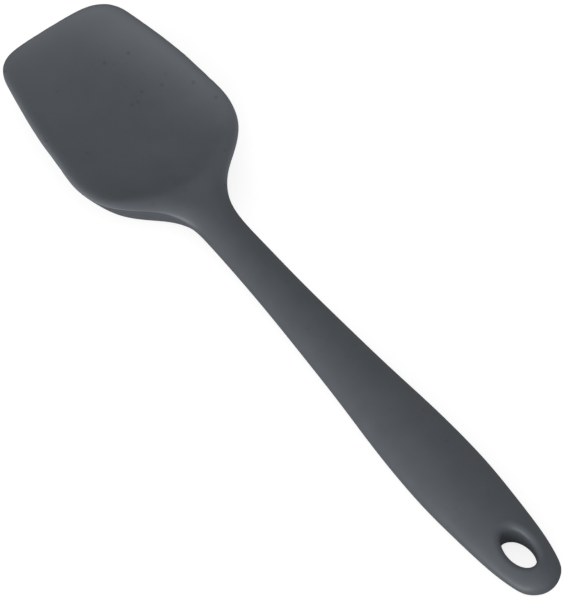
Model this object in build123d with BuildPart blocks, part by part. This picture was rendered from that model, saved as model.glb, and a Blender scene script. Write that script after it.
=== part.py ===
from build123d import *
import os
from math import hypot, pi, sin, sqrt

# Silicone spoon spatula: one silicone moulding over a nylon core and a steel spine.
# Millimetres. +X runs from the end of the handle to the tip, +Z is up, and the bowl faces up.
# The origin is on the surface that the spatula lies on, midway along its length, and the
# spatula is symmetric about the plane Y = 0.

os.makedirs("parts", exist_ok=True)

# Lengths along the spatula, from the end of the handle to the tip
butt_length = 52.0  # end of the handle to its widest place
taper_length = 120.0  # widest place of the handle to the neck
heel_length = 41.0  # neck to the shoulders, where the head is widest
blade_length = 44.0  # shoulders to the corners
corner_length = 13.0  # start of the rounded corners to the tip

# Widths and thicknesses
handle_width = 26.5
handle_thickness = 13.4
neck_width = 14.3
neck_thickness = 9.2
head_width = 61.7
tip_width = 50.2  # where the corners start
lip_thickness = 2.1
lip_rounding = 1.8  # how far in from its edge the lip is rounded

# Heights above the surface that the spatula lies on
butt_height = 6.0  # middle of the handle at its end
neck_height = 8.1  # middle of the neck
heel_height = 14.5  # crest between the neck and the bowl
bowl_height = 6.4  # lowest place inside the bowl
rim_height = 14.9  # middle of the lip along the sides
tip_height = 13.0  # middle of the lip at the tip

# Oval hanging hole
hole_length = 15.0
hole_width = 9.0
hole_distance = 16.3  # end of the handle to the hole's middle
hole_rounding = 2.8

# Nylon core
silicone_wall = 2.2  # silicone over the core, and round the hole
core_inset = 3.0  # least distance from the end of the handle to the core
window_length = 17.0
window_width = 8.0
window_count = 3
window_pitch = 25.0

# Steel spine
spine_thickness = 1.2
spine_width = 6.0
spine_overlap = 62.0  # length of spine inside the core
tang_width = 12.0
tang_reach = 22.0  # shoulders to the end of the tang
tang_hole = 3.4
tang_hole_count = 3
tang_hole_pitch = 6.8
tang_corner_share = 0.4  # of the tang's width
tang_holes_share = 0.42  # middle of the holes, from the shoulders to the tang's end
anchor_hole = 3.0  # holes that the nylon fills
anchor_hole_count = 3
dip_start_share = 0.22  # where the spine bends down, from the neck to the shoulders
dip_end_share = 0.80
tang_rise = 0.4  # how much the floor of the bowl rises along the tang
floor_lift = 0.4  # middle of the bowl's floor above half its height
bend_radius = 30.0

overrun = 2.0  # how far a cutting tool passes what it cuts
network_tolerance = 0.01  # of the surfaces that are laid through crossing curves

overall_length = butt_length + taper_length + heel_length + blade_length + corner_length
handle_end = -overall_length / 2
belly = handle_end + butt_length
neck = belly + taper_length
shoulder = neck + heel_length
corner = shoulder + blade_length


def between(start, end, share):
    return start + (end - start) * share


# Handle, from its end to the belly: along, width, thickness
butt_shares = (
    (0.003, 0.125, 0.15),
    (0.012, 0.245, 0.29),
    (0.03, 0.38, 0.41),
    (0.077, 0.57, 0.555),
    (0.173, 0.71, 0.66),
    (0.31, 0.815, 0.78),
    (0.50, 0.895, 0.90),
    (0.73, 0.96, 0.967),
    (1.0, 1.0, 1.0),
)

# Handle, from the belly to the neck: along, loss of width, loss of thickness
taper_shares = (
    (0.19, 0.14, 0.13),
    (0.375, 0.45, 0.38),
    (0.57, 0.71, 0.68),
    (0.75, 0.90, 0.91),
    (0.90, 0.985, 1.0),
    (1.0, 1.0, 1.0),
)

# Heel, from the neck to the shoulders: along, width, rim, lip, rise to the crest, drop into
# the bowl, underside, sharpness of the edge; then the powers of the upper and lower curves
heel_shares = (
    (0.22, 0.04, 0.16, 0.27, 0.28, 0.0, 0.46, 0.40, 2.0, 3.2),
    (0.39, 0.225, 0.42, 0.46, 0.67, 0.0, 0.86, 0.66, 1.9, 4.4),
    (0.51, 0.473, 0.62, 0.62, 1.0, 0.0, 0.982, 0.80, 1.9, 5.2),
    (0.575, 0.614, 0.69, 0.70, 1.0, 0.42, 1.0, 0.86, 2.0, 5.2),
    (0.64, 0.735, 0.75, 0.76, 1.0, 0.82, 1.0, 0.89, 2.4, 5.1),
    (0.72, 0.846, 0.81, 0.83, 1.0, 0.95, 1.0, 0.93, 3.2, 4.8),
    (0.83, 0.944, 0.89, 0.91, 1.0, 0.99, 1.0, 0.965, 4.0, 4.0),
    (1.0, 1.0, 0.96, 0.98, 1.0, 1.0, 0.985, 0.98, 4.4, 3.2),
)

# Blade, from the shoulders to the corners: along, loss of width, rim, rise of the floor,
# rise of the underside; then the powers of the upper and lower curves
blade_shares = (
    (0.205, 0.07, 0.99, 0.0, 0.052, 4.4, 2.9),
    (0.43, 0.226, 1.0, 0.0, 0.134, 4.3, 2.6),
    (0.705, 0.54, 1.0, 0.035, 0.28, 4.1, 2.4),
    (1.0, 1.0, 1.0, 0.21, 0.49, 3.8, 2.3),
)

# Corners and tip: along, width, rim, rise of the floor, rise of the underside, bluntness
corner_upper_power = 3.2
corner_lower_power = 2.3
corner_shares = (
    (0.31, 0.954, 0.95, 0.33, 0.58, 0.0),
    (0.577, 0.876, 0.82, 0.48, 0.69, 0.03),
    (0.754, 0.785, 0.67, 0.63, 0.79, 0.08),
    (0.869, 0.685, 0.50, 0.77, 0.87, 0.2),
    (0.938, 0.57, 0.33, 0.875, 0.93, 0.4),
    (0.977, 0.41, 0.17, 0.945, 0.97, 0.7),
    (0.995, 0.20, 0.04, 0.99, 0.99, 1.0),
)

# Where a section's points lie, from its middle to its edge, in an oval and in a lipped blade
oval_shares = (0.0, 0.223, 0.434, 0.623, 0.782, 0.901, 0.975, 1.0)
lipped_shares = (0.0, 0.28, 0.52, 0.73, 0.88, 0.955, 0.99, 1.0)
oval_pull = pi  # how steadily a section's curve leaves its edge, in half thicknesses
lipped_pull = 7.5


# One section: where it is, its half width, the height and half thickness of its edge, the
# heights of its upper and lower faces in the middle, how far its edge is sharpened from an
# oval's to a lip's, and the powers that bend the faces up from the middle to the edge
class Section:
    def __init__(self, along, half_width, edge, lip, top, bottom, sharpness, upper=2.0, lower=2.0):
        self.along = along
        self.half_width = half_width
        self.edge = edge
        self.lip = lip
        self.top = top
        self.bottom = bottom
        self.sharpness = sharpness
        self.upper = upper
        self.lower = lower

    # Points from one edge over the middle to the other edge, on the upper or lower face
    def points(self, side):
        rounding = between(self.half_width, min(lip_rounding, self.half_width), self.sharpness)
        fullness = 2 * self.half_width / rounding
        half = []
        for oval, lipped in zip(oval_shares, lipped_shares):
            across = between(oval, lipped, self.sharpness)
            upper = between(self.top, self.edge + self.lip, across**self.upper)
            lower = between(self.bottom, self.edge - self.lip, across**self.lower)
            swell = (upper - lower) / 2 * sqrt(1 - across**fullness)
            half.append((across * self.half_width, (upper + lower) / 2 + side * swell))
        across_all = [(-y, z) for y, z in reversed(half[1:])] + half
        return [(self.along, y, z) for y, z in across_all]

    # The curve through those points, which leaves both edges upright
    def profile(self, side):
        pull = side * self.lip * between(oval_pull, lipped_pull, self.sharpness)
        points = self.points(side)
        steps = len(points) - 1
        return Edge.make_spline(
            points,
            tangents=[(0, 0, pull), (0, 0, -pull)],
            parameters=[step / steps for step in range(steps + 1)],
            scale=False,
        )


def handle_middle(along):
    if along < belly:
        return between(butt_height, handle_thickness / 2, (along - handle_end) / butt_length)
    return between(handle_thickness / 2, neck_height, (along - belly) / taper_length)


def handle_section(along, width, thickness):
    middle = handle_middle(along)
    half = thickness / 2
    return Section(along, width / 2, middle, half, middle + half, middle - half, 0.0)


handle_sections = []
for along, width, thickness in butt_shares:
    handle_sections.append(
        handle_section(
            between(handle_end, belly, along),
            width * handle_width,
            thickness * handle_thickness,
        )
    )
for along, narrowing, thinning in taper_shares:
    handle_sections.append(
        handle_section(
            between(belly, neck, along),
            between(handle_width, neck_width, narrowing),
            between(handle_thickness, neck_thickness, thinning),
        )
    )

neck_top = neck_height + neck_thickness / 2
neck_bottom = neck_height - neck_thickness / 2
tip_top = tip_height + lip_thickness / 2
tip_bottom = tip_height - lip_thickness / 2

head_sections = []
for along, width, rim, lip, crest, drop, keel, sharpness, upper, lower in heel_shares:
    top = between(between(neck_top, heel_height, crest), bowl_height, drop)
    head_sections.append(
        Section(
            between(neck, shoulder, along),
            between(neck_width, head_width, width) / 2,
            between(neck_height, rim_height, rim),
            between(neck_thickness, lip_thickness, lip) / 2,
            top,
            between(neck_bottom, 0, keel),
            sharpness,
            upper,
            lower,
        )
    )
for along, narrowing, rim, floor, keel, upper, lower in blade_shares:
    head_sections.append(
        Section(
            between(shoulder, corner, along),
            between(head_width, tip_width, narrowing) / 2,
            between(tip_height, rim_height, rim),
            lip_thickness / 2,
            between(bowl_height, tip_top, floor),
            between(0, tip_bottom, keel),
            1.0,
            upper,
            lower,
        )
    )
for along, width, rim, floor, keel, bluntness in corner_shares:
    inward = (1 - along) * corner_length
    depth = min(inward / (lip_thickness / 2), 1)
    thinning = sqrt(1 - (1 - depth) ** 2)
    top = between(bowl_height, tip_top, floor)
    bottom = between(0, tip_bottom, keel)
    head_sections.append(
        Section(
            between(corner, -handle_end, along),
            width * tip_width / 2,
            between(tip_height, rim_height, rim),
            lip_thickness / 2 * thinning,
            between((top + bottom) / 2, top, thinning),
            between((top + bottom) / 2, bottom, thinning),
            1 - bluntness,
            corner_upper_power,
            corner_lower_power,
        )
    )


# Where the sections lie along the lengthwise curves: the closer two sections, the shorter
# the stretch of curve between them, by the root of their distance
def stretches(sections):
    places = [0.0]
    for last, this in zip(sections, sections[1:]):
        step = hypot(
            this.along - last.along,
            this.half_width - last.half_width,
            this.lip - last.lip,
        )
        places.append(places[-1] + sqrt(step))
    return [place / places[-1] for place in places]


# A face through the upper or lower curves of all sections, held by a lengthwise curve
# through each row of their points
def network_face(sections, side):
    rows = [section.points(side) for section in sections]
    parameters = stretches(sections)
    return Face.make_gordon_surface(
        [section.profile(side) for section in sections],
        [Edge.make_spline(list(column), parameters=parameters) for column in zip(*rows)],
        tolerance=network_tolerance,
    )


# The flat that closes the form at its first or last section
def end_face(section):
    return Face(Wire([section.profile(1), section.profile(-1)]))


# Outer form: an upper and a lower face that meet along the parting line, and two end flats
sections = handle_sections + head_sections
outer_faces = [
    network_face(sections, 1),
    network_face(sections, -1),
    end_face(sections[0]),
    end_face(sections[-1]),
]
with BuildPart() as outer_form:
    add(Solid(Shell(Face.sew_faces(outer_faces)[0])))

hole_middle = handle_end + hole_distance
eye_end = hole_middle + hole_length / 2 + silicone_wall
hole_top = handle_thickness + overrun

# Steel spine: a strip that runs through the neck, dips with the heel and ends as a
# perforated tang in the floor of the bowl
spine_start = neck - spine_overlap
spine_end = shoulder + tang_reach
dip_start = between(neck, shoulder, dip_start_share)
dip_end = between(neck, shoulder, dip_end_share)
floor_middle = bowl_height / 2 + floor_lift
spine_path = (
    (spine_start, handle_middle(spine_start)),
    (dip_start, neck_height),
    (dip_end, floor_middle),
    (spine_end, floor_middle + tang_rise),
)
with BuildPart() as steel_spine:
    with BuildSketch(Plane.XZ):
        with BuildLine():
            FilletPolyline(*spine_path, radius=bend_radius)
        trace(line_width=spine_thickness)
    extrude(amount=tang_width, both=True)
    with BuildSketch():
        with BuildLine():
            Polyline(
                (spine_start, -spine_width / 2),
                (dip_start, -spine_width / 2),
                (shoulder - tang_width / 2, -tang_width / 2),
                (spine_end, -tang_width / 2),
                (spine_end, tang_width / 2),
                (shoulder - tang_width / 2, tang_width / 2),
                (dip_start, spine_width / 2),
                (spine_start, spine_width / 2),
                close=True,
            )
        make_face()
    extrude(amount=rim_height, mode=Mode.INTERSECT)
    tang_edges = steel_spine.edges().filter_by(Axis.Z).group_by(Axis.X)[-1]
    fillet(tang_edges, radius=tang_width * tang_corner_share)
    with BuildSketch():
        with Locations((between(shoulder, spine_end, tang_holes_share), 0)):
            with GridLocations(tang_hole_pitch, 0, tang_hole_count, 1):
                Circle(tang_hole / 2)
        with Locations(((spine_start + neck) / 2, 0)):
            with GridLocations(spine_overlap / anchor_hole_count, 0, anchor_hole_count, 1):
                Circle(anchor_hole / 2)
    extrude(amount=rim_height, mode=Mode.SUBTRACT)

core_start = handle_end + core_inset
core_sections = [section for section in handle_sections if section.along > core_start]

# Nylon core: the handle's form less the silicone round it, with an eye for the hanging
# hole and windows that the silicone runs through
with BuildPart() as nylon_core:
    for section in core_sections:
        with BuildSketch(Plane.YZ.offset(section.along)):
            with Locations((0, section.edge)):
                Ellipse(section.half_width - silicone_wall, section.lip - silicone_wall)
    loft()
    with BuildSketch():
        with Locations((hole_middle, 0)):
            Ellipse(hole_length / 2 + silicone_wall, hole_width / 2 + silicone_wall)
        with Locations(((eye_end + spine_start) / 2, 0)):
            with GridLocations(window_pitch, 0, window_count, 1):
                SlotOverall(window_length, window_width)
    extrude(amount=hole_top, mode=Mode.SUBTRACT)
    add(steel_spine.part, mode=Mode.SUBTRACT)

# Silicone skin: the outer form with the rounded hanging hole, moulded round the core and
# the spine, so that it also fills their windows and holes
with BuildPart() as silicone_skin:
    add(outer_form.part)
    with BuildSketch(Plane.XY.offset(-overrun)):
        with Locations((hole_middle, 0)):
            Ellipse(hole_length / 2, hole_width / 2)
    extrude(amount=hole_top + overrun, mode=Mode.SUBTRACT)
    hole_edges = silicone_skin.edges().filter_by_position(
        Axis.X, hole_middle - hole_length / 2, hole_middle + hole_length / 2
    )
    fillet(hole_edges.group_by(Axis.Z)[0] + hole_edges.group_by(Axis.Z)[-1], radius=hole_rounding)
    add(nylon_core.part, mode=Mode.SUBTRACT)
    add(steel_spine.part, mode=Mode.SUBTRACT)

steel_spine.part.label = "steel_spine"
export_step(steel_spine.part, "parts/steel_spine.step")

nylon_core.part.label = "nylon_core"
export_step(nylon_core.part, "parts/nylon_core.step")

silicone_skin.part.label = "silicone_skin"
export_step(silicone_skin.part, "parts/silicone_skin.step")
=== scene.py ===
import bpy
import numpy as np
from math import cos, radians, sin
from mathutils import Matrix, Vector


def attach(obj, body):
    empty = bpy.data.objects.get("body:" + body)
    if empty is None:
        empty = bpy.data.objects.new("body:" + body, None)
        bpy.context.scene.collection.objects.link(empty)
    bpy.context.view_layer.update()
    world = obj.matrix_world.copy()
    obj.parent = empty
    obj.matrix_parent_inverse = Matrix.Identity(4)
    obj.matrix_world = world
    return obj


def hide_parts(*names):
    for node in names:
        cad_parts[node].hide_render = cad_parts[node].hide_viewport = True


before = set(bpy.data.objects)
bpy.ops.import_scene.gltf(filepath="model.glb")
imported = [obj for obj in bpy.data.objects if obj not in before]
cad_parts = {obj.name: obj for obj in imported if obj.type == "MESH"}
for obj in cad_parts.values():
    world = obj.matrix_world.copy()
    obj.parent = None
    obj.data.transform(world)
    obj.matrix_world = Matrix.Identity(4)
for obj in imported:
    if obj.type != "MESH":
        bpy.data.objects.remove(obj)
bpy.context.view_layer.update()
print("frame loaded:", sorted(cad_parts))

mm = 0.001


def between(start, end, share):
    return start + (end - start) * share


def smoothStep(share):
    share = np.clip(share, 0, 1)
    return share * share * (3 - 2 * share)


# Form of the silicone skin, in millimetres: +X from the end of the handle to the tip, heights
# from the surface that it lies on.
spatula = {
    "buttLength": 52.0,  # end of the handle to its widest place
    "taperLength": 120.0,
    "heelLength": 41.0,
    "bladeLength": 44.0,
    "cornerLength": 13.3,
    "handleWidth": 26.5,
    "handleThickness": 13.4,
    "neckWidth": 14.3,
    "neckThickness": 9.2,
    "headWidth": 61.7,
    "tipWidth": 50.2,
    "lipThickness": 2.1,
    "lipRounding": 1.8,
    "buttHeight": 6.0,
    "neckHeight": 8.1,
    "heelHeight": 14.5,
    "bowlHeight": 9.6,
    "rimHeight": 14.9,
    "tipHeight": 13.0,
    "holeLength": 15.0,
    "holeWidth": 9.0,
    "holeDistance": 16.5,
    "holeRounding": 2.8,
    "holeRoundingBelow": 3.6,
    # along, width, thickness from the end of the handle to the belly
    "butt": (
        (0.003, 0.125, 0.15),
        (0.012, 0.245, 0.29),
        (0.03, 0.38, 0.41),
        (0.077, 0.57, 0.555),
        (0.173, 0.71, 0.66),
        (0.31, 0.815, 0.78),
        (0.50, 0.895, 0.90),
        (0.73, 0.96, 0.967),
        (1.0, 1.0, 1.0),
    ),
    # along, loss of width, loss of thickness from the belly to the neck
    "taper": (
        (0.19, 0.14, 0.13),
        (0.375, 0.45, 0.38),
        (0.57, 0.71, 0.68),
        (0.75, 0.90, 0.91),
        (0.90, 0.985, 1.0),
        (1.0, 1.0, 1.0),
    ),
    # along, width, rim, lip, crest, keel, sharpness, powers of the faces
    "heel": (
        (0.22, 0.056, 0.22, 0.34, 0.23, 0.49, 0.52, 2.0, 3.4),
        (0.39, 0.252, 0.56, 0.74, 0.67, 0.86, 0.84, 1.9, 4.4),
        (0.52, 0.534, 0.73, 0.87, 1.0, 0.982, 0.92, 1.9, 4.8),
        (0.66, 0.788, 0.76, 0.92, 1.0, 1.0, 0.95, 2.0, 5.2),
        (0.80, 0.928, 0.79, 0.96, 1.0, 1.0, 0.97, 2.0, 4.4),
        (1.0, 1.004, 0.83, 0.98, 1.0, 0.985, 0.985, 2.0, 3.2),
    ),
    # along, loss of width, rim, rise of the keel, powers
    "blade": (
        (0.205, 0.084, 0.68, 0.052, 2.0, 2.9),
        (0.43, 0.232, 0.86, 0.134, 2.0, 2.6),
        (0.705, 0.54, 0.97, 0.28, 2.0, 2.4),
        (1.0, 1.0, 1.0, 0.49, 2.0, 2.3),
    ),
    # along, width, rim, rise of the keel
    "corner": (
        (0.31, 0.954, 0.95, 0.58),
        (0.577, 0.876, 0.82, 0.69),
        (0.754, 0.785, 0.67, 0.79),
        (0.869, 0.685, 0.50, 0.87),
        (0.938, 0.57, 0.33, 0.93),
        (0.977, 0.41, 0.17, 0.97),
        (0.995, 0.20, 0.04, 0.99),
    ),
    "cornerPowers": (2.0, 2.3),
    "stations": 6001,
}

# How far a point is from the edge that is rounded: across the handle, square to the outline on
# the neck and heel, and by the nearest point of the outline on the head
edgeSettings = {
    "handleEnd": 20.0,
    "neckStart": 30.0,
    "steepest": 3.0,  # slope of the outline beyond which it counts no more
    "headStart": 78.0,
    "headRun": 10.0,
    "frontStart": 100.0,
    "frontWidth": 20.0,
}

# The bowl, sunk into the head inside a rim
bowl = {
    "start": 50.0,  # well behind the bowl
    "crestEnd": 58.0,  # the crest runs on into the rim from here
    "crestRun": 14.0,
    "rimWidth": 1.8,
    "rearStart": 57.9,  # rear of the bowl in the middle
    "rearBend": 0.0075,  # how fast its sides fall back, for each millimetre squared
    "rearCorner": 7.5,
    "wallReach": 20.0,  # how far the walls reach in
    "wallPower": 2.4,
    "rearReach": 13.0,
    "rearPower": 3.4,
    "rearBlend": 10.0,
    "ringStart": 40.0,
    "sideEnd": 116.0,  # where the corner of the tip starts to turn
    "rimSoftness": 1.2,
    "rearSoftness": 3.0,
    # along, rise of the floor towards the tip
    "floor": (
        (60.0, 0.30),
        (70.0, 0.14),
        (83.0, 0.03),
        (96.9, 0.0),
        (109.0, 0.035),
        (122.0, 0.21),
        (126.0, 0.33),
        (129.5, 0.48),
        (131.8, 0.63),
        (133.3, 0.77),
        (134.2, 0.875),
        (135.0, 1.0),
    ),
}

meshSettings = {
    "halfColumns": 44,
    "rowStep": 1.0,
    "headStart": 30.0,
    "headRowStep": 0.6,
    "tipRows": 56,
    "tipPacking": 2.0,
    "tipStart": 96.0,
    "tipCorner": 129.0,  # where the front line of the patch starts
    "handleStart": -98.0,  # where the plain rows take over from the rings round the hole
    "buttPoints": 110,
    "holeRings": 30,
    "wallRows": 8,
    "ringEvenness": 0.45,
    "lipPacking": 2.4,
    # painted light: the head's thin silicone is given a lighter colour, on its upper faces only
    "edgeLightFall": 3.0,  # how fast the painted light on thin silicone fades as it gets thicker
    "edgeLightStart": 40.0,
    "edgeLightRun": 12.0,
    "edgeLightUnder": 0.0,  # share of the painted light on the walls below the rim
}


def spatulaRows(s):
    end = -(s["buttLength"] + s["taperLength"] + s["heelLength"] + s["bladeLength"] + s["cornerLength"]) / 2
    belly = end + s["buttLength"]
    neck = belly + s["taperLength"]
    shoulder = neck + s["heelLength"]
    corner = shoulder + s["bladeLength"]
    middle = s["handleThickness"] / 2

    def oval(x, width, thickness):
        if x < belly:
            height = between(s["buttHeight"], middle, (x - end) / s["buttLength"])
        else:
            height = between(middle, s["neckHeight"], (x - belly) / s["taperLength"])
        half = thickness / 2
        return (x, width / 2, height, half, height + half, height - half, 0.0, 2.0, 2.0)

    rows = []
    for along, width, thickness in s["butt"]:
        rows.append(oval(between(end, belly, along), width * s["handleWidth"], thickness * s["handleThickness"]))
    for along, narrow, thin in s["taper"]:
        width = between(s["handleWidth"], s["neckWidth"], narrow)
        rows.append(oval(between(belly, neck, along), width, between(s["handleThickness"], s["neckThickness"], thin)))
    neckTop = s["neckHeight"] + s["neckThickness"] / 2
    neckBottom = s["neckHeight"] - s["neckThickness"] / 2
    lip = s["lipThickness"] / 2
    tipTop, tipBottom = s["tipHeight"] + lip, s["tipHeight"] - lip
    for along, width, rim, thin, crest, keel, sharpness, upper, lower in s["heel"]:
        rows.append((
            between(neck, shoulder, along),
            between(s["neckWidth"], s["headWidth"], width) / 2,
            between(s["neckHeight"], s["rimHeight"], rim),
            between(s["neckThickness"], s["lipThickness"], thin) / 2,
            between(neckTop, s["heelHeight"], crest),
            between(neckBottom, 0, keel),
            sharpness, upper, lower,
        ))
    for along, narrow, rim, keel, upper, lower in s["blade"]:
        rows.append((
            between(shoulder, corner, along),
            between(s["headWidth"], s["tipWidth"], narrow) / 2,
            between(s["tipHeight"], s["rimHeight"], rim),
            lip,
            tipTop,
            between(0, tipBottom, keel),
            1.0, upper, lower,
        ))
    for along, width, rim, keel in s["corner"]:
        rows.append((
            between(corner, -end, along),
            width * s["tipWidth"] / 2,
            between(s["tipHeight"], s["rimHeight"], rim),
            lip,
            tipTop,
            between(0, tipBottom, keel),
            1.0, *s["cornerPowers"],
        ))
    rows = np.array(rows)
    first = np.array([end, 0, s["buttHeight"], 0, s["buttHeight"], s["buttHeight"], 0, 2, 2], float)
    last = np.array([-end, 0, s["tipHeight"], lip, tipTop, tipBottom, 1, *s["cornerPowers"]], float)
    before = rows[2::-1].copy()  # the same form on the far side of the centre line, so the ends close square
    before[:, 1] *= -1
    before[:, 3] *= -1
    before[:, 4], before[:, 5] = rows[2::-1, 5], rows[2::-1, 4]
    after = rows[:-4:-1].copy()
    after[:, 1] *= -1
    return np.vstack([before, first, rows, last, after]), len(before), len(before) + len(rows) + 1


def smoothCurve(knots, values, at):
    # natural cubic spline through the rows of values
    n = len(knots)
    h = np.diff(knots)
    matrix = np.zeros((n, n))
    right = np.zeros((n, values.shape[1]))
    matrix[0, 0] = matrix[-1, -1] = 1
    for i in range(1, n - 1):
        matrix[i, i - 1], matrix[i, i], matrix[i, i + 1] = h[i - 1], 2 * (h[i - 1] + h[i]), h[i]
        right[i] = 6 * ((values[i + 1] - values[i]) / h[i] - (values[i] - values[i - 1]) / h[i - 1])
    bend = np.linalg.solve(matrix, right)
    i = np.clip(np.searchsorted(knots, at) - 1, 0, n - 2)
    a = (knots[i + 1] - at) / h[i]
    b = 1 - a
    a, b, w = a[:, None], b[:, None], (h[i] ** 2 / 6)[:, None]
    return a * values[i] + b * values[i + 1] + ((a**3 - a) * bend[i] + (b**3 - b) * bend[i + 1]) * w


def formTable(s, b):
    # columns: along, half width, edge, half thickness of the edge, top, bottom, sharpness,
    # powers of the faces, floor of the bowl
    rows, first, last = spatulaRows(s)
    steps = np.hypot(np.hypot(np.diff(rows[:, 0]), np.diff(rows[:, 1])), np.diff(rows[:, 3]))
    knots = np.concatenate([[0], np.cumsum(np.sqrt(steps))])
    table = smoothCurve(knots, rows, np.linspace(knots[first], knots[last], s["stations"]))
    table[0, 1] = table[-1, 1] = 0
    table[:, 0] = np.maximum.accumulate(table[:, 0]) + np.arange(len(table)) * 1e-9
    x, rim = table[:, 0], table[:, 2] + table[:, 3]
    ahead = x > b["crestEnd"]
    level = between(s["heelHeight"], rim, smoothStep((x - b["crestEnd"]) / b["crestRun"]))
    table[:, 4] = np.where(ahead, level, table[:, 4])
    table[:, 7] = np.where(ahead, 2, table[:, 7])
    along, rise = np.array(b["floor"]).T
    share = smoothCurve(along, rise[:, None], np.clip(x, along[0], along[-1]))[:, 0]
    tipTop = s["tipHeight"] + s["lipThickness"] / 2
    return np.column_stack([table, between(s["bowlHeight"], tipTop, share)])


fine = formTable(spatula, bowl)
outline = fine[:, :2]
slope = np.gradient(fine[:, 1], fine[:, 0])


def formAt(x):
    return [np.interp(x, fine[:, 0], fine[:, k]) for k in range(1, fine.shape[1])]


def ringDistance(ring, x, y):
    # plan distance to a line of points on the +Y side, and to its mirror image
    out = np.empty(len(x))
    block = 2000  # points at a time, to save memory
    for start in range(0, len(x), block):
        part = slice(start, start + block)
        px, py = x[part, None], np.abs(y[part, None])
        out[part] = np.sqrt(((ring[:, 0] - px) ** 2 + (ring[:, 1] - py) ** 2).min(axis=1))
    return out


def drawnOn(ring, length, step, over=8):
    # the line, and its own direction kept for some way past its end
    first, last = ring[-1 - over], ring[-1]
    slant = (last[1] - first[1]) / (last[0] - first[0])
    further = np.linspace(step, length, round(length / step))
    return np.vstack([ring, last + np.column_stack([further, slant * further])])


headRing = outline[outline[:, 0] > bowl["ringStart"]][::4]
# without the corner, so that the bowl's walls run out at the tip
sideRing = drawnOn(headRing[headRing[:, 0] < bowl["sideEnd"]], length=30, step=0.1)


def bowlHeights(x, y, around, floor, b):
    # the sunken face, from the height of the form around it and that of its floor
    side = ringDistance(sideRing, x, y) - b["rimWidth"]
    rear = x - b["rearStart"] - b["rearBend"] * y**2
    corner = b["rearCorner"]
    rounded = corner - np.hypot(np.maximum(corner - side, 0), np.maximum(corner - rear, 0))
    inward = np.where((side > corner) & (rear > corner), np.minimum(side, rear), rounded)
    rearward = np.clip((side - rear) / b["rearBlend"], 0, 1)
    reach = between(b["wallReach"], b["rearReach"], rearward)
    power = between(b["wallPower"], b["rearPower"], rearward)
    left = np.clip(1 - inward / reach, 0, None)
    level = np.where(inward > 0, left**power, 1 - power * inward / reach)
    sunk = between(floor, around, level)
    soft = between(b["rimSoftness"], b["rearSoftness"], rearward)
    overlap = np.clip(soft - np.abs(around - sunk), 0, None) / soft
    return np.minimum(around, sunk) - overlap**2 * soft / 4


def skinHeights(x, y, onEdge):
    s, e = spatula, edgeSettings
    w, edge, lip, top, bottom, sharp, upperPower, lowerPower, floor = formAt(x)
    w = np.maximum(w, 1e-6)
    across = np.clip(np.abs(y) / w, 0, 1)
    upper = top + (edge + lip - top) * across**upperPower
    lower = bottom + (edge - lip - bottom) * across**lowerPower
    head = x > bowl["start"]
    if head.any():
        upper[head] = bowlHeights(x[head], y[head], upper[head], floor[head], bowl)
    rounding = between(w, np.minimum(s["lipRounding"], w), sharp)
    lean = np.interp(x, fine[:, 0], slope)
    near = (w - np.abs(y)) / np.sqrt(1 + np.clip(lean, -e["steepest"], e["steepest"]) ** 2)
    near = np.where(x < e["neckStart"], w - np.abs(y), near)
    head = x > e["headStart"]
    if head.any():
        share = np.clip((x[head] - e["headStart"]) / e["headRun"], 0, 1)
        near[head] = between(near[head], ringDistance(headRing, x[head], y[head]), share)
    full = np.where(x > e["frontStart"], np.maximum(w, e["frontWidth"]), w)
    inner = np.clip(1 - near / full, 0, 1)
    inner = np.where(x < e["handleEnd"], across, inner)
    swell = np.sqrt(np.clip(1 - inner ** (2 * full / rounding), 0, 1))
    swell[onEdge] = 0
    half = (upper - lower) / 2 * swell
    return (upper + lower) / 2 + half, (upper + lower) / 2 - half


def columnShares(sharpness, count):
    # from the centre line to the edge, packed towards the edge
    k = np.linspace(1, 0, count + 1)
    oval = np.cos(k * np.pi / 2)
    lipped = 1 - k ** meshSettings["lipPacking"]
    return between(oval, lipped, sharpness)


def coonsPatch(bottomLine, topLine, leftLine, rightLine, rowShares):
    # rows run from bottomLine to topLine; the side lines have one point for each row
    u = np.linspace(0, 1, len(bottomLine))
    rows = []
    for share, left, right in zip(rowShares, leftLine, rightLine):
        straight = between(bottomLine, topLine, share)
        pull = np.outer(1 - u, left - straight[0]) + np.outer(u, right - straight[-1])
        rows.append(straight + pull)
    return rows


def outlineBetween(startX, endX, count, packing=None):
    # points of the outline by length from startX to endX on the +Y side
    part = outline[(outline[:, 0] >= startX) & (outline[:, 0] <= endX)]
    length = np.concatenate([[0], np.cumsum(np.hypot(*np.diff(part, axis=0).T))])
    shares = np.linspace(0, 1, count) if packing is None else packing
    at = shares * length[-1]
    return np.column_stack([np.interp(at, length, part[:, 0]), np.interp(at, length, part[:, 1])])


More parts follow.
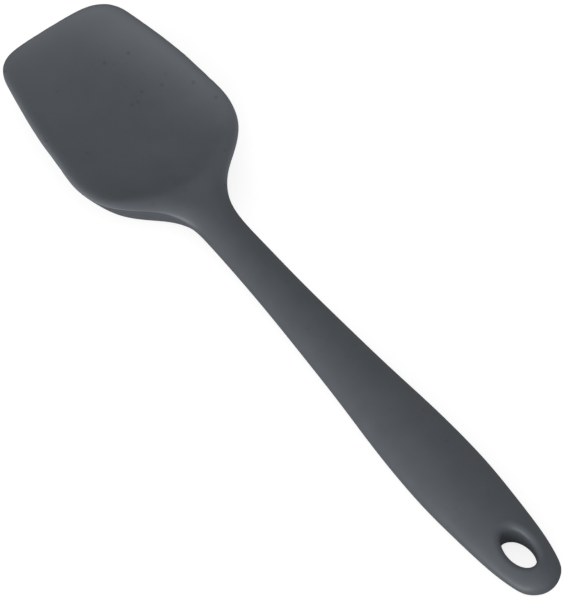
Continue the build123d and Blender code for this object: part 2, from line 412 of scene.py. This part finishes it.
def buildSkin():
    s, m = spatula, meshSettings
    vertices, faces = [], []

    def addPoints(points):
        start = len(vertices)
        vertices.extend([tuple(p) for p in points])
        return list(range(start, start + len(points)))

    half = m["halfColumns"]
    # plain rows from the handle to the middle of the head
    handleRows = round((m["headStart"] - m["handleStart"]) / m["rowStep"])
    headRows = round((m["tipStart"] - m["headStart"]) / m["headRowStep"])
    xs = np.concatenate([
        np.linspace(m["handleStart"], m["headStart"], handleRows, endpoint=False),
        np.linspace(m["headStart"], m["tipStart"], headRows + 1),
    ])
    sharpness = np.interp(xs, fine[:, 0], fine[:, 6])
    widths = np.interp(xs, fine[:, 0], fine[:, 1])
    gridX, gridY = [], []
    for x, w, sharp in zip(xs, widths, sharpness):
        share = columnShares(sharp, half)
        line = np.concatenate([-share[::-1], share[1:]]) * w
        gridX.append(np.full(len(line), x))
        gridY.append(line)
    columns = 2 * half + 1
    # tip: from the last row round the corners
    lastLine = np.column_stack([gridX[-1], gridY[-1]])
    cornerX = m["tipCorner"]
    k = np.linspace(1, 0, m["tipRows"] + 1)
    rowShares = 1 - k ** m["tipPacking"]
    side = outlineBetween(m["tipStart"], cornerX, 0, rowShares)
    front = outlineBetween(cornerX, 200, 0, np.linspace(0, 1, half + 1))
    front[-1, 1] = 0
    frontLine = np.vstack([front * [1, -1], front[-2::-1]])
    left = side * [1, -1]
    patch = coonsPatch(lastLine, frontLine, left, side, rowShares)
    for row in patch[1:]:
        gridX.append(row[:, 0])
        gridY.append(row[:, 1])
    gridX, gridY = np.array(gridX), np.array(gridY)
    onEdge = np.zeros(gridX.shape, bool)
    onEdge[:, 0] = onEdge[:, -1] = True
    onEdge[-1, :] = True
    top, bottom = skinHeights(gridX.ravel(), gridY.ravel(), onEdge.ravel())
    topIds = np.array(addPoints(np.column_stack([gridX.ravel(), gridY.ravel(), top]))).reshape(gridX.shape)
    bottomIds = topIds.copy()
    inside = ~onEdge.ravel()
    low = np.column_stack([gridX.ravel(), gridY.ravel(), bottom])[inside]
    bottomIds.ravel()[inside] = addPoints(low)
    rows = len(gridX)
    for i in range(rows - 1):
        for j in range(columns - 1):
            faces.append((topIds[i, j], topIds[i + 1, j], topIds[i + 1, j + 1], topIds[i, j + 1]))
            faces.append((bottomIds[i, j], bottomIds[i, j + 1], bottomIds[i + 1, j + 1], bottomIds[i + 1, j]))
    # rings round the hanging hole, out to the end of the handle and to the first plain row
    holeX = outline[0, 0] + s["holeDistance"]
    butt = outlineBetween(-200, m["handleStart"], m["buttPoints"] + 1)
    butt[0, 1] = 0
    butt[-1] = gridX[0, -1], gridY[0, -1]
    around = np.vstack([butt[::-1], butt[1:] * [1, -1]])  # +Y side to the end, then the -Y side
    crossing = np.column_stack([gridX[0], gridY[0]])[1:-1]  # from -Y to +Y
    loop = np.vstack([around, crossing])
    count = len(loop)
    angles = np.arctan2(loop[:, 1] / s["holeWidth"], (loop[:, 0] - holeX) / s["holeLength"])
    angles = np.unwrap(angles)
    even = angles[0] + np.linspace(0, 2 * np.pi, count, endpoint=False)
    angles = between(angles, even, m["ringEvenness"])
    inner = np.column_stack([
        holeX + s["holeLength"] / 2 * np.cos(angles),
        s["holeWidth"] / 2 * np.sin(angles),
    ])
    ringShares = (1 - np.cos(np.linspace(0, np.pi, m["holeRings"] + 1))) / 2
    ringX = np.array([between(inner[:, 0], loop[:, 0], f) for f in ringShares])
    ringY = np.array([between(inner[:, 1], loop[:, 1], f) for f in ringShares])
    ringEdge = np.zeros(ringX.shape, bool)
    ringEdge[-1, :len(around)] = True
    top, bottom = skinHeights(ringX.ravel(), ringY.ravel(), ringEdge.ravel())
    q = np.hypot((ringX - holeX) / (s["holeLength"] / 2), ringY / (s["holeWidth"] / 2)).ravel()
    gradient = np.hypot((ringX - holeX) / (s["holeLength"] / 2) ** 2, ringY / (s["holeWidth"] / 2) ** 2).ravel() / q

    def fall(radius):
        inward = np.clip((q - 1) / gradient, 0, radius)
        return radius - np.sqrt(np.clip(radius**2 - (radius - inward) ** 2, 0, None))

    top = (top - fall(s["holeRounding"])).reshape(ringX.shape)
    bottom = (bottom + fall(s["holeRoundingBelow"])).reshape(ringX.shape)
    topRings, bottomRings = [], []
    for i in range(len(ringX)):
        if i < len(ringX) - 1:
            topRings.append(addPoints(np.column_stack([ringX[i], ringY[i], top[i]])))
            bottomRings.append(addPoints(np.column_stack([ringX[i], ringY[i], bottom[i]])))
    edgeIds = addPoints(np.column_stack([ringX[-1], ringY[-1], top[-1]])[1:len(around) - 1])
    edgeIds = [int(topIds[0, -1])] + edgeIds + [int(topIds[0, 0])]
    topRings.append(edgeIds + [int(v) for v in topIds[0, 1:-1]])
    bottomRings.append(edgeIds + [int(v) for v in bottomIds[0, 1:-1]])
    for rings, flip in ((topRings, False), (bottomRings, True)):
        for i in range(len(rings) - 1):
            for j in range(count):
                n = (j + 1) % count
                face = (rings[i][j], rings[i + 1][j], rings[i + 1][n], rings[i][n])
                faces.append(face[::-1] if flip else face)
    # wall of the hole
    wall = [topRings[0]]
    for r in range(1, m["wallRows"]):
        z = between(top[0], bottom[0], r / m["wallRows"])
        wall.append(addPoints(np.column_stack([ringX[0], ringY[0], z])))
    wall.append(bottomRings[0])
    for i in range(len(wall) - 1):
        for j in range(count):
            n = (j + 1) % count
            faces.append((wall[i][j], wall[i][n], wall[i + 1][n], wall[i + 1][j]))
    mesh = bpy.data.meshes.new("siliconeSkin")
    mesh.from_pydata((np.array(vertices) * mm).tolist(), [], [tuple(int(v) for v in f) for f in faces])
    mesh.validate()
    mesh.update()
    place = np.array(vertices)
    # painted light: a lighter tone on the head's thin edges, upper faces only, fading as the silicone thickens
    top, bottom = skinHeights(place[:, 0], place[:, 1], np.zeros(len(place), bool))
    spare = np.clip(top - bottom - spatula["lipThickness"], 0, None)
    thin = np.exp(-spare / m["edgeLightFall"]) * smoothStep((place[:, 0] - m["edgeLightStart"]) / m["edgeLightRun"])
    thin[place[:, 2] < (top + bottom) / 2 - 0.05] *= m["edgeLightUnder"]
    mesh.attributes.new("paintedEdgeLight", "FLOAT", "POINT").data.foreach_set("value", thin)
    for polygon in mesh.polygons:
        polygon.use_smooth = True
    piece = bpy.data.objects.new("siliconeSkin", mesh)
    bpy.context.scene.collection.objects.link(piece)
    print("skin:", len(mesh.vertices), "points", len(mesh.polygons), "faces")
    return piece


skin = buildSkin()
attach(skin, "root")
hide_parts("silicone_skin")


# Materials
def newMaterial(name):
    material = bpy.data.materials.new(name)
    material.use_nodes = True
    tree = material.node_tree
    tree.nodes.clear()
    out = tree.nodes.new("ShaderNodeOutputMaterial")
    surface = tree.nodes.new("ShaderNodeBsdfPrincipled")
    tree.links.new(surface.outputs["BSDF"], out.inputs["Surface"])
    return material, tree, surface


def addNode(tree, kind, inputs=None, **settings):
    node = tree.nodes.new(kind)
    for key, value in settings.items():
        setattr(node, key, value)
    for key, value in (inputs or {}).items():
        if isinstance(value, bpy.types.NodeSocket):
            tree.links.new(value, node.inputs[key])
        else:
            node.inputs[key].default_value = value
    return node


def linear(r, g, b):
    return tuple((c / 12.92 if c <= 0.04045 else ((c + 0.055) / 1.055) ** 2.4) for c in (r, g, b)) + (1.0,)


grainDefaults = {"Grain Scale": 1400.0, "Mottle Scale": 45.0, "Speck Scale": 260.0, "Speck Size": 0.02}
speckLimit = 0.95  # a cell has a speck when its random value is above this


def grainGroup():
    # fine moulded grain: a height, a light and dark mottle, and sparse specks
    group = bpy.data.node_groups.new("mouldedGrain", "ShaderNodeTree")
    face = group.interface
    for name, value in grainDefaults.items():
        socket = face.new_socket(name=name, in_out="INPUT", socket_type="NodeSocketFloat")
        socket.default_value = value
    for name in ("Height", "Mottle", "Specks"):
        face.new_socket(name=name, in_out="OUTPUT", socket_type="NodeSocketFloat")
    source = group.nodes.new("NodeGroupInput")
    result = group.nodes.new("NodeGroupOutput")
    place = addNode(group, "ShaderNodeTexCoord").outputs["Object"]
    fineNoise = addNode(group, "ShaderNodeTexNoise",
                        {"Vector": place, "Scale": source.outputs["Grain Scale"], "Detail": 3.0, "Roughness": 0.6})
    mottle = addNode(group, "ShaderNodeTexNoise",
                     {"Vector": place, "Scale": source.outputs["Mottle Scale"], "Detail": 4.0, "Roughness": 0.55})
    cells = addNode(group, "ShaderNodeTexVoronoi", {"Vector": place, "Scale": source.outputs["Speck Scale"]})
    rare = addNode(group, "ShaderNodeSeparateColor", {"Color": cells.outputs["Color"]})
    chosen = addNode(group, "ShaderNodeMath", {0: rare.outputs["Red"], 1: speckLimit}, operation="GREATER_THAN")
    near = addNode(group, "ShaderNodeMapRange",
                   {"Value": cells.outputs["Distance"], "From Min": source.outputs["Speck Size"], "From Max": 0.0})
    both = addNode(group, "ShaderNodeMath", {0: chosen.outputs[0], 1: near.outputs[0]}, operation="MULTIPLY")
    group.links.new(fineNoise.outputs["Fac"], result.inputs["Height"])
    group.links.new(mottle.outputs["Fac"], result.inputs["Mottle"])
    group.links.new(both.outputs[0], result.inputs["Specks"])
    return group


grain = grainGroup()

siliconeLook = {
    "colour": linear(0.325, 0.342, 0.364),
    "darker": linear(0.281, 0.298, 0.320),
    # lighter colour for the painted light on thin silicone
    "thin": linear(0.388, 0.406, 0.429),
    "speck": linear(0.280, 0.295, 0.314),
    "roughness": (0.44, 0.52),
    "specular": 0.45,
    "refraction": 1.43,
    "bump": 0.00002,
    "grain": {"Grain Scale": 1500, "Mottle Scale": 110, "Speck Scale": 420, "Speck Size": 0.42},
}


def siliconeMaterial(look):
    material, tree, surface = newMaterial("siliconeSlate")
    texture = addNode(tree, "ShaderNodeGroup", {}, node_tree=grain)
    for name, value in look["grain"].items():
        texture.inputs[name].default_value = value
    tone = addNode(tree, "ShaderNodeMix", {"Factor": texture.outputs["Mottle"]}, data_type="RGBA")
    tone.inputs[6].default_value, tone.inputs[7].default_value = look["darker"], look["colour"]
    # painted light: mixes the lighter colour in where the silicone is thin
    thin = addNode(tree, "ShaderNodeAttribute", {}, attribute_name="paintedEdgeLight")
    edgeLightMix = addNode(tree, "ShaderNodeMix", {"Factor": thin.outputs["Fac"]}, data_type="RGBA")
    tree.links.new(tone.outputs[2], edgeLightMix.inputs[6])
    edgeLightMix.inputs[7].default_value = look["thin"]
    specked = addNode(tree, "ShaderNodeMix", {"Factor": texture.outputs["Specks"]}, data_type="RGBA")
    tree.links.new(edgeLightMix.outputs[2], specked.inputs[6])
    specked.inputs[7].default_value = look["speck"]
    tree.links.new(specked.outputs[2], surface.inputs["Base Color"])
    low, high = look["roughness"]
    rough = addNode(tree, "ShaderNodeMapRange", {"Value": texture.outputs["Height"], "To Min": low, "To Max": high})
    tree.links.new(rough.outputs["Result"], surface.inputs["Roughness"])
    surface.inputs["Specular IOR Level"].default_value = look["specular"]
    surface.inputs["IOR"].default_value = look["refraction"]
    bump = addNode(tree, "ShaderNodeBump",
                   {"Height": texture.outputs["Height"], "Distance": look["bump"], "Strength": 1.0})
    tree.links.new(bump.outputs["Normal"], surface.inputs["Normal"])
    return material


nylonLook = {
    "colour": linear(0.15, 0.15, 0.155),
    "darker": linear(0.10, 0.10, 0.105),
    "mottle": 200,
    "roughness": 0.55,
    "bump": 0.00002,
}


def nylonMaterial(look):
    material, tree, surface = newMaterial("nylonDark")
    texture = addNode(tree, "ShaderNodeGroup", {}, node_tree=grain)
    texture.inputs["Mottle Scale"].default_value = look["mottle"]
    tone = addNode(tree, "ShaderNodeMix", {"Factor": texture.outputs["Mottle"]}, data_type="RGBA")
    tone.inputs[6].default_value, tone.inputs[7].default_value = look["darker"], look["colour"]
    tree.links.new(tone.outputs[2], surface.inputs["Base Color"])
    surface.inputs["Roughness"].default_value = look["roughness"]
    bump = addNode(tree, "ShaderNodeBump", {"Height": texture.outputs["Height"], "Distance": look["bump"]})
    tree.links.new(bump.outputs["Normal"], surface.inputs["Normal"])
    return material


steelLook = {
    "colour": linear(0.75, 0.75, 0.76),
    "roughness": (0.25, 0.42),
    "lines": (40.0, 2500.0, 2500.0),  # rolling lines, long in X
}


def steelMaterial(look):
    material, tree, surface = newMaterial("steelStrip")
    place = addNode(tree, "ShaderNodeTexCoord").outputs["Object"]
    stretch = addNode(tree, "ShaderNodeMapping", {"Vector": place, "Scale": look["lines"]})
    lines = addNode(tree, "ShaderNodeTexNoise", {"Vector": stretch.outputs["Vector"], "Scale": 1.0, "Detail": 2.0})
    low, high = look["roughness"]
    rough = addNode(tree, "ShaderNodeMapRange", {"Value": lines.outputs["Fac"], "To Min": low, "To Max": high})
    tree.links.new(rough.outputs["Result"], surface.inputs["Roughness"])
    surface.inputs["Base Color"].default_value = look["colour"]
    surface.inputs["Metallic"].default_value = 1.0
    return material


skin.data.materials.append(siliconeMaterial(siliconeLook))
for node, material in (("nylon_core", nylonMaterial(nylonLook)), ("steel_spine", steelMaterial(steelLook))):
    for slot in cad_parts[node].material_slots:
        slot.material = material
print("materials done")

# Stage
stageSettings = {
    "floorSize": 6.0,
    "floorDrop": 0.2 * mm,  # clear of the underside
    "floorColour": (0.45, 0.45, 0.45, 1),  # with the glow it is white in the picture
    "floorGlow": 0.77,
    "ambient": 0.54,
}


def buildFloor(look):
    half = look["floorSize"] / 2
    mesh = bpy.data.meshes.new("floor")
    corners = [(-half, -half, 0), (half, -half, 0), (half, half, 0), (-half, half, 0)]
    mesh.from_pydata(corners, [], [(0, 1, 2, 3)])
    floor = bpy.data.objects.new("floor", mesh)
    bpy.context.scene.collection.objects.link(floor)
    floor.location.z = -look["floorDrop"]
    material, tree, surface = newMaterial("floorPale")
    surface.inputs["Base Color"].default_value = look["floorColour"]
    surface.inputs["Roughness"].default_value = 0.9
    surface.inputs["Specular IOR Level"].default_value = 0.1
    path = addNode(tree, "ShaderNodeLightPath")
    seen = addNode(tree, "ShaderNodeMath",
                   {0: path.outputs["Is Camera Ray"], 1: look["floorGlow"]}, operation="MULTIPLY")
    surface.inputs["Emission Color"].default_value = (1, 1, 1, 1)
    tree.links.new(seen.outputs[0], surface.inputs["Emission Strength"])
    mesh.materials.append(material)


buildFloor(stageSettings)

world = bpy.data.worlds.new("studio")
bpy.context.scene.world = world
world.use_nodes = True
world.node_tree.nodes.clear()
path = addNode(world.node_tree, "ShaderNodeLightPath")
strength = addNode(world.node_tree, "ShaderNodeMix", {"Factor": path.outputs["Is Camera Ray"]}, data_type="FLOAT")
strength.inputs[2].default_value, strength.inputs[3].default_value = stageSettings["ambient"], 1.0
glow = addNode(world.node_tree, "ShaderNodeBackground", {"Color": (1, 1, 1, 1), "Strength": strength.outputs[0]})
addNode(world.node_tree, "ShaderNodeOutputWorld", {"Surface": glow.outputs[0]})

cameraSettings = {
    "azimuth": 232.720,
    "elevation": 55.933,
    "roll": 0.0,
    "distance": 3237.8 * mm,
    "pixelsPerMm": 3.0743,
    "centre": (293.95, 306.75),
    "target": (0.0, 0.0, 8.0 * mm),
    "frame": (565, 599),
    "sensor": 36.0,
}


def buildCamera(c):
    azimuth, elevation, roll = (radians(c[k]) for k in ("azimuth", "elevation", "roll"))
    back = Vector((sin(azimuth) * cos(elevation), -cos(azimuth) * cos(elevation), sin(elevation)))
    right = Vector((cos(azimuth), sin(azimuth), 0))
    up = back.cross(right)
    rolledRight = right * cos(roll) + up * sin(roll)
    rolledUp = up * cos(roll) - right * sin(roll)
    width, height = c["frame"]
    shiftX = (width / 2 - c["centre"][0]) / c["pixelsPerMm"] * mm
    shiftY = (c["centre"][1] - height / 2) / c["pixelsPerMm"] * mm
    data = bpy.data.cameras.new("camera")
    camera = bpy.data.objects.new("camera", data)
    bpy.context.scene.collection.objects.link(camera)
    place = Vector(c["target"]) + back * c["distance"] + rolledRight * shiftX + rolledUp * shiftY
    camera.matrix_world = Matrix((
        (rolledRight.x, rolledUp.x, back.x, place.x),
        (rolledRight.y, rolledUp.y, back.y, place.y),
        (rolledRight.z, rolledUp.z, back.z, place.z),
        (0, 0, 0, 1),
    ))
    data.sensor_fit = "AUTO"
    data.sensor_width = c["sensor"]
    data.lens = c["pixelsPerMm"] * c["distance"] / mm * c["sensor"] / max(width, height)
    data.clip_start, data.clip_end = 0.05, 20
    bpy.context.scene.camera = camera
    return rolledRight, rolledUp, back


cameraRight, cameraUp, cameraBack = buildCamera(cameraSettings)

lampSettings = {
    "key": {"from": (-0.245, -0.591, 0.77), "distance": 1.2, "size": 0.6, "power": 6.0},
    "low": {"from": (-0.659, -0.541, 0.522), "distance": 1.2, "size": 0.28, "power": 5.6},
    "top": {"from": (0, 0, 1), "distance": 1.2, "size": 0.6, "power": 0.8},
}


def buildLamp(name, look):
    x, y, z = look["from"]
    direction = (cameraRight * x + cameraUp * y + cameraBack * z).normalized()
    data = bpy.data.lights.new(name, "AREA")
    data.shape = "DISK"
    data.size = look["size"]
    data.energy = look["power"]
    lamp = bpy.data.objects.new(name, data)
    bpy.context.scene.collection.objects.link(lamp)
    lamp.location = direction * look["distance"]
    lamp.rotation_euler = direction.to_track_quat("Z", "Y").to_euler()
    print("lamp", name, "at", [round(v, 2) for v in lamp.location])


for name, look in lampSettings.items():
    buildLamp(name, look)

bpy.context.scene.view_settings.view_transform = "Standard"
print("stage done")
